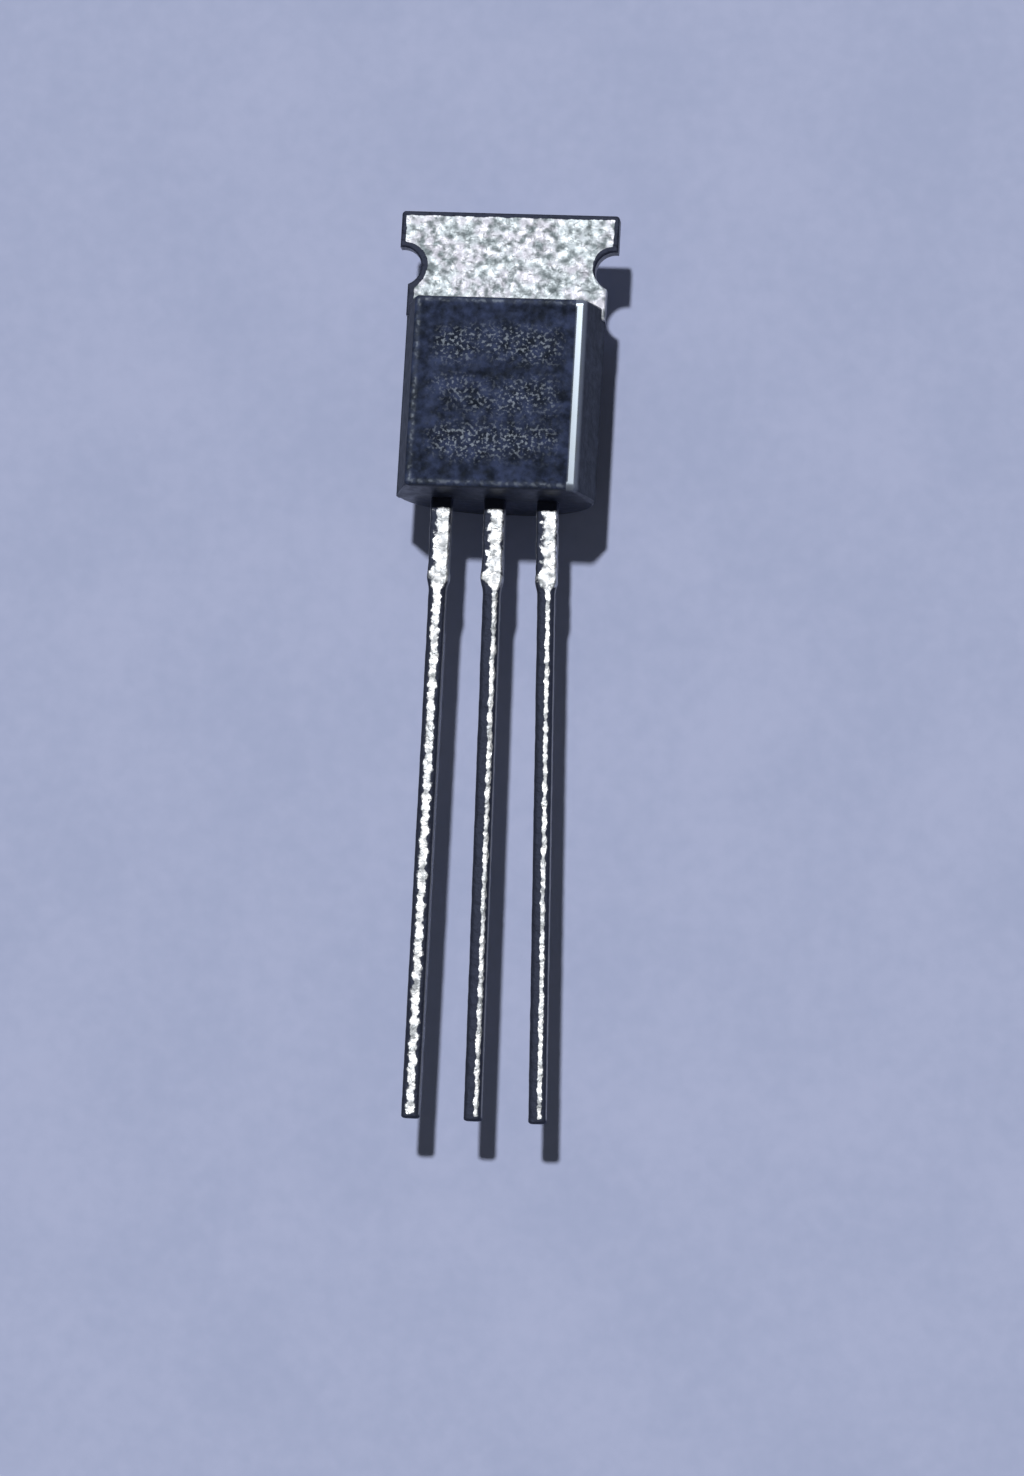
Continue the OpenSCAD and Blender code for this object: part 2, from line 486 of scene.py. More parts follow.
@dataclass(frozen=True)
class FloorFinish:
    """Pale paper with a faint tooth."""

    pale: Colour = (0.345, 0.39, 0.575)
    paler: Colour = (0.395, 0.435, 0.625)
    cloud_per_mm: float = 0.25
    cloud_share: float = 0.6
    tooth_per_mm: float = 2.4
    tooth_depth: float = 0.004

    def material(self) -> bpy.types.Material:
        """Builds the material.

        Returns:
            The finished material.
        """
        bench = Bench("pale_floor")
        clouds = bench.sum("MULTIPLY", bench.noise(self.cloud_per_mm, 3.0), self.cloud_share)
        tooth = bench.sum("MULTIPLY", bench.noise(self.tooth_per_mm, 3.0), 1 - self.cloud_share)
        tooth = bench.sum("ADD", clouds, tooth)
        colour = bench.tint(bench.ease(tooth, 0.3, 0.7), self.pale, self.paler)
        rough = bench.ease(tooth, 0.3, 0.7, 0.85, 0.95)
        return bench.done(colour, rough, bench.relief(tooth, self.tooth_depth), 0.0)


def turn_outwards(mesh: bpy.types.Mesh) -> None:
    """Turns the faces of a closed mesh outwards.

    Args:
        mesh: The mesh.
    """
    work = bmesh.new()
    work.from_mesh(mesh)
    bmesh.ops.recalc_face_normals(work, faces=work.faces)
    work.to_mesh(mesh)
    work.free()


def ring_faces(rings: int, count: int) -> list[tuple[int, ...]]:
    """Joins closed rings of points with four-sided faces.

    Args:
        rings: Number of rings.
        count: Points in each ring.

    Returns:
        The corners of each face.
    """
    steps = list(zip(range(count), [*range(1, count), 0]))
    return [
        (r * count + i, r * count + j, (r + 1) * count + j, (r + 1) * count + i)
        for r in range(rings - 1)
        for i, j in steps
    ]


def mesh_of(name: str, points: np.ndarray, faces: list[tuple[int, ...]]) -> bpy.types.Mesh:
    """Makes a mesh from points about the lead sheet, with its faces turned outwards.

    Args:
        name: Name of the mesh.
        points: Points in millimetres, from the place where the leads leave the body.
        faces: Corners of each face.

    Returns:
        The mesh, in metres in the part's frame.
    """
    mesh = bpy.data.meshes.new(name)
    mesh.from_pydata(((points + PLACE) * MM).tolist(), [], faces)
    turn_outwards(mesh)
    mesh.shade_smooth()
    return mesh


def paint(mesh: bpy.types.Mesh, name: str, values: np.ndarray) -> None:
    """Stores a value at each point of a mesh."""
    layer = mesh.attributes.new(name, "FLOAT", "POINT")
    layer.data.foreach_set("value", np.asarray(values, dtype=np.float32))


def shown(name: str, mesh: bpy.types.Mesh) -> bpy.types.Object:
    """Puts a mesh in the scene at the origin.

    Args:
        name: Name of the piece.
        mesh: Its mesh.

    Returns:
        The piece.
    """
    piece = bpy.data.objects.new(name, mesh)
    bpy.context.collection.objects.link(piece)
    return piece


def joined(name: str, parts: list[bpy.types.Object]) -> bpy.types.Object:
    """Joins parts of one piece.

    Args:
        name: Name of the piece.
        parts: Its parts.

    Returns:
        The piece.
    """
    with bpy.context.temp_override(active_object=parts[0], object=parts[0], selected_editable_objects=parts):
        bpy.ops.object.join()
    parts[0].name = name
    parts[0].data.name = name
    return parts[0]


@dataclass
class MouldedBody:
    """The moulded body: flat front with a crowned rim, round back, and a thin flash on the parting line."""

    width: float = 4.75
    height: float = 4.76
    face_width: float = 4.05
    face_depth: float = 1.27
    back_depth: float = 2.15
    back_flat: float = 1.2
    face_draft: float = 3.5
    back_draft: float = 1.5
    edge_round: float = 0.06
    face_round: float = 0.12
    parting_step: float = 0.02
    flash: float = 0.014
    end_round: float = 0.07
    rim: float = 0.21
    # Inner line of the rim, where the finish paints highlight specks
    glint_line_in: float = 0.1
    glint_line_width: float = 0.045
    crown: float = 0.003
    heart: float = -0.35
    dimple: float = 0.01
    flat_steps: int = 14
    rim_steps: int = 6
    edge_steps: int = 9
    flank_steps: int = 7
    back_steps: int = 30
    round_steps: int = 8
    length_steps: int = 22
    end_shares: tuple[float, ...] = (0.25, 0.5, 0.72, 0.88, 0.96)
    end_rings: tuple[float, ...] = (0.16, 0.18, 0.2, 0.22, 0.26, 0.4)

    def half_profile(self) -> np.ndarray:
        """Gives the section's right half, from the middle of the flat round to the middle of the back.

        Returns:
            Points in X and Z.
        """
        edge = np.array([self.face_width / 2, self.face_depth])
        parting = np.array([self.width / 2, 0.0])
        down = parting - edge
        down /= np.linalg.norm(down)
        setback = self.edge_round / math.tan(math.acos(-down[0]) / 2)
        flat_end = edge[0] - setback
        flank_start = edge + setback * down
        last_turn = math.degrees(math.atan2(-down[0], down[1])) + 180
        turn = np.radians(np.linspace(90, last_turn, self.edge_steps))
        centre = np.array([flat_end, self.face_depth - self.edge_round])
        side = self.width / 2 - self.parting_step
        middle = (side**2 - (self.back_flat / 2) ** 2 - self.back_depth**2) / (2 * self.back_depth)
        radius = math.hypot(side, middle)
        sweep = np.linspace(
            math.atan2(-0.03 - middle, side),
            math.atan2(-self.back_depth - middle, self.back_flat / 2), self.back_steps)
        across = np.concatenate([
            np.linspace(0, edge[0] - self.rim - 0.05, self.flat_steps),
            np.linspace(edge[0] - self.rim, flat_end, self.rim_steps)[:-1]])
        down_flank = np.linspace(0.15, 0.97, self.flank_steps)[:, None]
        return np.concatenate([
            np.stack([across, np.full(len(across), self.face_depth)], axis=1),
            centre + self.edge_round * np.stack([np.cos(turn), np.sin(turn)], axis=1),
            flank_start + down_flank * (parting - flank_start),
            [[self.width / 2, 0.012], [self.width / 2 + self.flash, 0.004], [side + 0.004, -0.014]],
            np.array([0.0, middle]) + radius * np.stack([np.cos(sweep), np.sin(sweep)], axis=1),
            np.stack([np.linspace(self.back_flat / 2 - 0.06, 0, 6), np.full(6, -self.back_depth)], axis=1),
        ])

    def profile(self) -> np.ndarray:
        """Gives the whole closed section, in X and Z."""
        half = self.half_profile()
        return np.concatenate([half, (half * [-1, 1])[-2:0:-1]])

    def end_inset(self, z: np.ndarray) -> np.ndarray:
        """Gives how far the drafted ends lie in from the parting line's ends.

        Args:
            z: Heights above the lead sheet.

        Returns:
            The inset at each height.
        """
        front = z * math.tan(math.radians(self.face_draft))
        back = self.parting_step - z * math.tan(math.radians(self.back_draft))
        return np.where(z >= 0, front, back)

    def rings(self) -> list[np.ndarray]:
        """Gives the rings of points from the middle of the lead end to the middle of the tab end.

        Returns:
            The points of each ring.
        """
        section = self.profile()
        heart = np.array([0.0, self.heart])
        along = np.roll(section, -1, axis=0) - np.roll(section, 1, axis=0)
        outward = np.stack([-along[:, 1], along[:, 0]], axis=1)
        outward /= np.linalg.norm(outward, axis=1)[:, None]
        ray = section - heart
        ray /= np.linalg.norm(ray, axis=1)[:, None]
        facing = np.maximum(np.abs((outward * ray).sum(axis=1)), 0.35)[:, None]
        radius = self.end_round + (self.face_round - self.end_round) * smooth(1.0, 1.25, section[:, 1])
        half = []
        border = section - ray * radius[:, None] / facing
        for share in self.end_shares:
            inner = heart + share * (border - heart)
            half.append((inner, np.zeros(len(section))))
        for angle in np.radians(np.linspace(0, 90, self.round_steps)):
            inset = radius * (1 - math.sin(angle))
            half.append((section - ray * inset[:, None] / facing, radius * (1 - math.cos(angle))))
        for distance in self.end_rings:
            half.append((section, np.full(len(section), distance)))
        lead_end = [np.stack([s[:, 0], self.end_inset(s[:, 1]) + d, s[:, 1]], axis=1) for s, d in half]
        tab_end = [np.stack([p[:, 0], self.height - p[:, 1], p[:, 2]], axis=1) for p in lead_end[::-1]]
        first, last = lead_end[-1], tab_end[0]
        middle = [first + t * (last - first) for t in np.linspace(0, 1, self.length_steps)[1:-1]]
        return [*lead_end, *middle, *tab_end]

    def build(self) -> bpy.types.Object:
        """Makes the body's mesh and marks its rim and the inner line of its border, where the finish paints
        its highlight.

        Returns:
            The body.
        """
        rings = self.rings()
        count = len(rings[0])
        poles = [[0, y, self.heart] for y in (self.dimple, self.height - self.dimple)]
        points = np.concatenate([*rings, poles])
        faces = ring_faces(len(rings), count)
        last = (len(rings) - 1) * count
        for i in range(count):
            faces.append(((i + 1) % count, i, len(points) - 2))
            faces.append((last + i, last + (i + 1) % count, len(points) - 1))
        face_half = self.face_width / 2
        end = self.end_inset(np.array([self.face_depth]))[0]
        border = np.minimum.reduce([
            face_half - np.abs(points[:, 0]), points[:, 1] - end, self.height - end - points[:, 1]])
        front = smooth(self.face_depth - 0.16, self.face_depth - 0.1, points[:, 2])
        rim = front * (1 - smooth(self.rim - 0.03, self.rim + 0.01, border))
        points[:, 2] -= front * self.crown * np.clip(1 - border / self.rim, 0, 1) ** 2
        mesh = mesh_of("moulded_case", points, faces)
        # The rim and the inner line carry the painted highlight and the polish of the finish
        paint(mesh, "rim", rim)
        paint(mesh, "line", front * np.exp(-(((border - self.glint_line_in) / self.glint_line_width) ** 2)))
        return shown("moulded_case", mesh)

    def dress(self, piece: bpy.types.Object, finish: EpoxyFinish) -> None:
        """Gives the body its finish and its place in the frame.

        Args:
            piece: The body.
            finish: Its moulding compound.
        """
        piece.data.materials.append(finish.material())
        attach(piece, "root")
        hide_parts("moulded_body")


class LeadSweep:
    """Geometry Nodes tree that sweeps a rounded section along a lead, lays uneven solder on it and marks
    where the painted highlight and painted shade go.
    """

    # The highlight inputs give the width and place of the painted highlight; the flanks beside it take
    # painted shade
    INPUTS = (
        ("Width", "NodeSocketFloat"), ("Thickness", "NodeSocketFloat"), ("Corner Radius", "NodeSocketFloat"),
        ("Solder Depth", "NodeSocketFloat"), ("Solder Lumps", "NodeSocketFloat"), ("Seed", "NodeSocketFloat"),
        ("Highlight Width", "NodeSocketFloat"), ("Highlight Offset", "NodeSocketFloat"),
        ("Shoulder Highlight", "NodeSocketFloat"), ("Shoulder Highlight Offset", "NodeSocketFloat"),
        ("Finish", "NodeSocketMaterial"),
    )
    CORNER_STEPS = 5
    SECTION_POINTS = 48
    SIDE_FADE = (0.46, 0.495)

    def __init__(self) -> None:
        """Builds the tree."""
        self.group = bpy.data.node_groups.new("lead_sweep", "GeometryNodeTree")
        face = self.group.interface
        face.new_socket("Spine", in_out="INPUT", socket_type="NodeSocketGeometry")
        self.keys = {
            name: face.new_socket(name, in_out="INPUT", socket_type=kind).identifier
            for name, kind in self.INPUTS
        }
        face.new_socket("Lead", in_out="OUTPUT", socket_type="NodeSocketGeometry")
        self.given = self.add("NodeGroupInput").outputs
        self.lay()

    def add(self, kind: str, **settings: str | bool) -> bpy.types.Node:
        """Adds a node.

        Args:
            kind: Blender's name of the node.
            **settings: The node's own options.

        Returns:
            The node.
        """
        node = self.group.nodes.new(kind)
        for key, value in settings.items():
            setattr(node, key, value)
        return node

    def run(self, kind: str, *values: Socket | float | str | None, **settings: str | bool) -> Socket:
        """Adds a node, fills its inputs in order and gives its first output.

        Args:
            kind: Blender's name of the node.
            *values: A socket to link or a value to set for each visible input, or None to leave it.
            **settings: The node's own options.

        Returns:
            The node's first visible output.
        """
        node = self.add(kind, **settings)
        sockets = [s for s in node.inputs if s.enabled and not s.is_unavailable]
        for socket, value in zip(sockets, values):
            if isinstance(value, Socket):
                self.group.links.new(value, socket)
            elif value is not None:
                socket.default_value = value
        return next(s for s in node.outputs if s.enabled and not s.is_unavailable)

    def number(self, name: str) -> Socket:
        """Reads a value that the spine carries."""
        return self.run("GeometryNodeInputNamedAttribute", name, data_type="FLOAT")

    def maths(self, how: str, a: Socket | float, b: Socket | float | None = None) -> Socket:
        """Adds a sum of numbers."""
        return self.run("ShaderNodeMath", a, b, operation=how)

    def arrows(self, how: str, a: Socket, b: Socket | Colour | None = None) -> Socket:
        """Adds a sum of vectors."""
        return self.run("ShaderNodeVectorMath", a, b, operation=how)

    def scaled(self, arrow: Socket, size: Socket) -> Socket:
        """Scales a vector by a number.

        Args:
            arrow: The vector.
            size: The number.

        Returns:
            The scaled vector.
        """
        node = self.add("ShaderNodeVectorMath", operation="SCALE")
        self.group.links.new(arrow, node.inputs["Vector"])
        self.group.links.new(size, node.inputs["Scale"])
        return node.outputs["Vector"]

    def blend(self, shoulder: str, slim: str) -> Socket:
        """Goes from the shoulder's input to the slim part's input."""
        change = self.maths("SUBTRACT", self.given[slim], self.given[shoulder])
        return self.maths("ADD", self.given[shoulder], self.maths("MULTIPLY", change, self.number("slim")))

    def shade_beside_highlight(self, offset: Socket) -> Socket:
        """Marks the painted shade on the flanks beside the painted highlight, and the cut tip and the root.

        Args:
            offset: Place of each point across the section.

        Returns:
            How much painted shade and roughness each point takes.
        """
        across = self.add("ShaderNodeSeparateXYZ")
        self.group.links.new(offset, across.inputs["Vector"])
        middle = self.blend("Shoulder Highlight Offset", "Highlight Offset")
        aside = self.maths("ABSOLUTE", self.maths("SUBTRACT", across.outputs["X"], middle))
        share = self.maths("DIVIDE", aside, self.blend("Shoulder Highlight", "Highlight Width"))
        flank = self.maths("MULTIPLY", self.maths("MINIMUM", share, 1.0), self.number("bare"))
        return self.maths("MAXIMUM", flank, self.number("cut"))

    def sides(self, offset: Socket) -> Socket:
        """Marks the two sides where the slim part was cut from the sheet.

        Args:
            offset: Place of each point across the section.

        Returns:
            How far each point lies on a side.
        """
        across = self.add("ShaderNodeSeparateXYZ")
        self.group.links.new(offset, across.inputs["Vector"])
        ease = self.add("ShaderNodeMapRange", interpolation_type="SMOOTHSTEP")
        reach = self.maths("DIVIDE", self.maths("ABSOLUTE", across.outputs["X"]), self.given["Width"])
        self.group.links.new(reach, ease.inputs["Value"])
        for end, value in zip(("From Min", "From Max"), self.SIDE_FADE):
            ease.inputs[end].default_value = value
        slim = self.maths("SUBTRACT", self.number("bare"), self.number("cut"))
        return self.maths("MULTIPLY", ease.outputs["Result"], self.maths("MAXIMUM", slim, 0.0))

    def lay(self) -> None:
        """Links the sweep, the solder, the flanks with their painted shade and highlight, and the finish."""
        line = self.run("GeometryNodeMeshToCurve", self.given["Spine"])
        normal = self.add("GeometryNodeSetCurveNormal", mode="Z_UP")
        self.group.links.new(line, normal.inputs["Curve"])
        here = self.run("GeometryNodeInputPosition")
        line = self.run(
            "GeometryNodeStoreNamedAttribute", normal.outputs["Curve"], None, "spine", here,
            data_type="FLOAT_VECTOR", domain="POINT")
        section = self.run(
            "GeometryNodeCurvePrimitiveQuadrilateral", self.given["Width"], self.given["Thickness"])
        fillet = self.add("GeometryNodeFilletCurve", mode="POLY")
        fillet.inputs["Count"].default_value = self.CORNER_STEPS
        self.group.links.new(section, fillet.inputs["Curve"])
        self.group.links.new(self.given["Corner Radius"], fillet.inputs["Radius"])
        even = self.add("GeometryNodeResampleCurve", mode="COUNT")
        self.group.links.new(fillet.outputs["Curve"], even.inputs["Curve"])
        even.inputs["Count"].default_value = self.SECTION_POINTS
        sweep = self.add("GeometryNodeCurveToMesh")
        self.group.links.new(line, sweep.inputs["Curve"])
        self.group.links.new(even.outputs["Curve"], sweep.inputs["Profile Curve"])
        sweep.inputs["Fill Caps"].default_value = True
        spine = self.run("GeometryNodeInputNamedAttribute", "spine", data_type="FLOAT_VECTOR")
        offset = self.arrows("SUBTRACT", here, spine)
        wide, thick = self.number("wide"), self.number("thick")
        shape = self.run("ShaderNodeCombineXYZ", wide, wide, thick)
        lumps = self.add("ShaderNodeTexNoise", noise_dimensions="4D")
        self.group.links.new(self.given["Solder Lumps"], lumps.inputs["Scale"])
        self.group.links.new(self.given["Seed"], lumps.inputs["W"])
        lift = self.maths("SUBTRACT", lumps.outputs[0], 0.5)
        depth = self.maths("MULTIPLY", lift, self.given["Solder Depth"])
        depth = self.maths("MULTIPLY", depth, self.number("solder"))
        solder = self.scaled(self.arrows("NORMALIZE", offset), depth)
        cap = self.run("ShaderNodeCombineXYZ", 1.0, 1.0, self.maths("MULTIPLY", self.given["Thickness"], 0.5))
        form = self.arrows("MINIMUM", self.arrows("MULTIPLY", offset, shape), cap)
        form = self.arrows("MAXIMUM", form, self.arrows("MULTIPLY", cap, (-1.0, -1.0, -1.0)))
        moved = self.arrows("ADD", spine, self.arrows("ADD", form, solder))
        marked = self.run(
            "GeometryNodeStoreNamedAttribute", sweep.outputs["Mesh"], None, "dull_and_shade", self.shade_beside_highlight(offset),
            data_type="FLOAT", domain="POINT")
        marked = self.run(
            "GeometryNodeStoreNamedAttribute", marked, None, "side", self.sides(offset),
            data_type="FLOAT", domain="POINT")
        lead = self.run("GeometryNodeSetPosition", marked, None, moved)
        lead = self.run("GeometryNodeSetShadeSmooth", lead)
        lead = self.run("GeometryNodeRealizeInstances", lead)
        lead = self.run("GeometryNodeSetMaterial", lead, None, self.given["Finish"])
        self.group.links.new(lead, self.add("NodeGroupOutput").inputs["Lead"])

    def sweep(self, spine: bpy.types.Object, sizes: dict[str, float], finish: bpy.types.Material) -> None:
        """Sweeps a lead along its spine and leaves the piece with a plain mesh.

        Args:
            spine: Piece whose mesh is the lead's middle line.
            sizes: Value of each input.
            finish: The lead's finish.
        """
        modifier = spine.modifiers.new("sweep", "NODES")
        modifier.node_group = self.group
        for name, value in sizes.items():
            modifier[self.keys[name]] = value
        modifier[self.keys["Finish"]] = finish
        graph = bpy.context.evaluated_depsgraph_get()
        swept = bpy.data.meshes.new_from_object(
            spine.evaluated_get(graph), preserve_all_data_layers=True, depsgraph=graph)
        spine.modifiers.remove(modifier)
        spine.data = swept
        turn_outwards(swept)


@dataclass
class Lead:
    """One lead outside the body: a wide soldered shoulder, a taper and a long slim part with a cut tip."""

    terminal: Terminal
    lean: float
    seed: float
    # Width share and offset of the painted highlight along the slim part
    highlight_share: float
    highlight_aside: float
    pitch: float = 1.27
    length: float = 14.75
    width: float = 0.42
    thickness: float = 0.41
    corner: float = 0.13
    shoulder_width: float = 0.51
    shoulder: float = 1.95
    taper: float = 0.3
    bend_drop: float = 0.25
    tip_round: float = 0.06
    # Width and offset of the painted highlight on the shoulder
    shoulder_highlight: float = 0.31
    shoulder_highlight_aside: float = 0.06
    shoulder_swell: float = 0.25
    bulge: float = 0.07
    bulge_up: float = 0.08
    bulge_reach: float = 0.12
    # The painted highlight widens across the shoulder's end
    collar_highlight: float = 0.6
    collar_up: float = 0.04
    collar_reach: float = 0.13
    slim_loss: float = 0.6
    solder_depth: float = 0.07
    lumps_per_mm: float = 3.0
    # Painted shadow of the body on the lead's root
    root_shadow: tuple[float, float] = (0.14, 0.3)
    tip_dull: tuple[float, float] = (0.12, 0.05)
    buried: float = 0.06
    ring_counts: tuple[int, int, int] = (30, 8, 170)
    ring_gaps: tuple[float, float, float, float] = (0.05, 0.04, 0.07, 0.12)
    tip_rings: tuple[float, ...] = (0.08, 0.06, 0.045, 0.03, 0.018, 0.008, 0.0)

    @property
    def offset(self) -> float:
        """Distance of the lead from the middle of the row."""
        return self.terminal.value * self.pitch

    def stations(self) -> np.ndarray:
        """Places the rings of the lead, closest where its section changes.

        Returns:
            Distances below the body, from just inside it to the tip.
        """
        tapered = self.shoulder + self.taper
        first, taper, slim, tip = self.ring_gaps
        wide_rings, taper_rings, slim_rings = self.ring_counts
        return np.concatenate([
            [-self.buried, 0.0],
            np.linspace(first, self.shoulder, wide_rings),
            np.linspace(self.shoulder + taper, tapered, taper_rings),
            np.linspace(tapered + slim, self.length - tip, slim_rings),
            self.length - np.array(self.tip_rings),
        ])

    def spine(self) -> bpy.types.Object:
        """Makes the lead's middle line, with its width and solder at each point.

        Returns:
            The line, as a piece.
        """
        along = self.stations()
        lean = math.radians(self.lean)
        bent = np.maximum(along - self.bend_drop, 0)
        straight = np.minimum(along, self.bend_drop)
        points = np.stack([
            self.offset + bent * math.sin(lean), -straight - bent * math.cos(lean), np.zeros(len(along)),
        ], axis=1)
        slim = smooth(self.shoulder - 0.03, self.shoulder + self.taper, along)
        wide = self.shoulder_width / self.width * (1 - slim) + slim
        wide += self.bulge * np.exp(-(((along - self.shoulder + self.bulge_up) / self.bulge_reach) ** 2))
        rise = np.clip((along - self.length + self.tip_round) / self.tip_round, 0, 1)
        shrink = 1 - self.tip_round / (self.width / 2) * (1 - np.sqrt(1 - rise**2))
        mesh = bpy.data.meshes.new("spine")
        steps = [(i, i + 1) for i in range(len(along) - 1)]
        mesh.from_pydata(((points + PLACE) * MM).tolist(), steps, [])
        paint(mesh, "wide", wide * shrink)
        paint(mesh, "thick", shrink * (1 + self.shoulder_swell * (1 - slim)))
        paint(mesh, "solder", 1 - self.slim_loss * slim)
        paint(mesh, "slim", slim)
        # Painted highlight: the shade is lifted across the shoulder's end
        collar = np.exp(-(((along - self.shoulder + self.collar_up) / self.collar_reach) ** 2))
        paint(mesh, "bare", 1 - self.collar_highlight * collar)
        # Painted shadow at the root, joined with the cut tip
        root = 1 - smooth(*self.root_shadow, along)
        tip = smooth(*(self.length - d for d in self.tip_dull), along)
        paint(mesh, "cut", np.maximum(root, tip))
        return shown("lead_spine", mesh)

    def build(self, tree: LeadSweep, finish: bpy.types.Material) -> bpy.types.Object:
        """Sweeps the lead.

        Args:
            tree: The Geometry Nodes tree that sweeps it.
            finish: Its finish.

        Returns:
            The lead.
        """
        piece = self.spine()
        tree.sweep(piece, {
            "Width": self.width * MM, "Thickness": self.thickness * MM, "Corner Radius": self.corner * MM,
            "Solder Depth": self.solder_depth * MM, "Solder Lumps": self.lumps_per_mm / MM, "Seed": self.seed,
            "Highlight Width": self.highlight_share * self.width * MM, "Highlight Offset": self.highlight_aside * MM,
            "Shoulder Highlight": self.shoulder_highlight * MM, "Shoulder Highlight Offset": self.shoulder_highlight_aside * MM,
        }, finish)
        return piece


@dataclass
class Plate:
    """A flat stamping with rolled edges and a rougher border that takes painted shade."""

    name: str
    outline: Callable[[float], np.ndarray]
    thickness: float
    roll: float
    borders: tuple[float, ...]
    band: Callable[[np.ndarray], np.ndarray]
    fade: float = 0.03
    roll_steps: int = 7
    side_angle: float = 0.1

    def levels(self) -> list[tuple[float, float, float]]:
        """Gives each ring's inset, height and share of the cut side, from back face to front face.

        Returns:
            One row for each ring.
        """
        half = self.thickness / 2
        face = [(inset, half, 0.0) for inset in (*self.borders, self.roll)]
        turn = np.radians(np.linspace(90, 0, self.roll_steps))[1:]
        edge = [
            (self.roll * (1 - math.cos(a)), half - self.roll * (1 - math.sin(a)), float(a < self.side_angle))
            for a in turn
        ]
        front = face + edge
        return [(inset, -z, side) for inset, z, side in front] + front[::-1]

    def build(self, finish: bpy.types.Material) -> bpy.types.Object:
        """Makes the plate and marks its edge band for roughness and painted shade.

        Args:
            finish: Its finish.

        Returns:
            The plate.
        """
        levels = self.levels()
        count = len(self.outline(0.0))
        points = np.concatenate([
            np.column_stack([self.outline(inset), np.full(count, z)]) for inset, z, _ in levels])
        faces = ring_faces(len(levels), count)
        faces.append(tuple(range(count)))
        faces.append(tuple(range((len(levels) - 1) * count, len(levels) * count)))
        mesh = mesh_of(self.name, points, faces)
        inset, side = (np.repeat([level[k] for level in levels], count) for k in (0, 2))
        # Marks the edge band where the finish paints shade
        paint(mesh, "dull_and_shade", 1 - smooth(-self.fade, self.fade, inset - self.band(points)))
        paint(mesh, "side", side)
        mesh.materials.append(finish)
        return shown(self.name, mesh)


# Edges of the stampings that the body hides
HIDDEN_ROLL = 0.03
HIDDEN_BORDERS = (0.12, 0.06)
HIDDEN_BAND = 0.06


def thin_band(points: np.ndarray) -> np.ndarray:
    """Gives the even width of the shaded band on a hidden stamping."""
    return np.full(len(points), HIDDEN_BAND)


def drawn_in(outline: list[tuple[float, float]], inset: float) -> np.ndarray:
    """Moves each side of an outline inwards.

    Args:
        outline: Corners, anticlockwise.
        inset: Distance to move.

    Returns:
        The corners of the smaller outline.
    """
    corners = np.array(outline)
    along = np.roll(corners, -1, axis=0) - corners
    along /= np.linalg.norm(along, axis=1)[:, None]
    inward = np.stack([-along[:, 1], along[:, 0]], axis=1)
    before = np.roll(inward, 1, axis=0)
    return corners + inset * (inward + before) / (1 + (inward * before).sum(axis=1))[:, None]


@dataclass
class PostedLead:
    """A lead that ends inside the body in a post with a bonding head."""

    lead: Lead
    node: str
    post_height: float = 1.3
    post_width: float = 0.48
    head_width: float = 0.95
    head_height: float = 0.55
    sheet: float = 0.38
    start: float = 0.02

    def post(self) -> Plate:
        """Gives the post and its head.

        Returns:
            The plate to build.
        """
        x, neck = self.lead.offset, self.post_height - self.head_height
        half, head = self.post_width / 2, self.head_width / 2
        outline = [
            (x - half, self.start), (x + half, self.start), (x + half, neck), (x + head, neck),
            (x + head, self.post_height), (x - head, self.post_height), (x - head, neck), (x - half, neck),
        ]
        return Plate("post", partial(drawn_in, outline), self.sheet, HIDDEN_ROLL, HIDDEN_BORDERS, thin_band)

    def build(self, tree: LeadSweep, finish: bpy.types.Material) -> bpy.types.Object:
        """Makes the lead with its post, and stands it for its node.

        Args:
            tree: The Geometry Nodes tree that sweeps leads.
            finish: The metal's finish.

        Returns:
            The piece.
        """
        piece = joined(f"tinned_{self.node}", [self.lead.build(tree, finish), self.post().build(finish)])
        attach(piece, "root")
        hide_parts(self.node)
        return piece


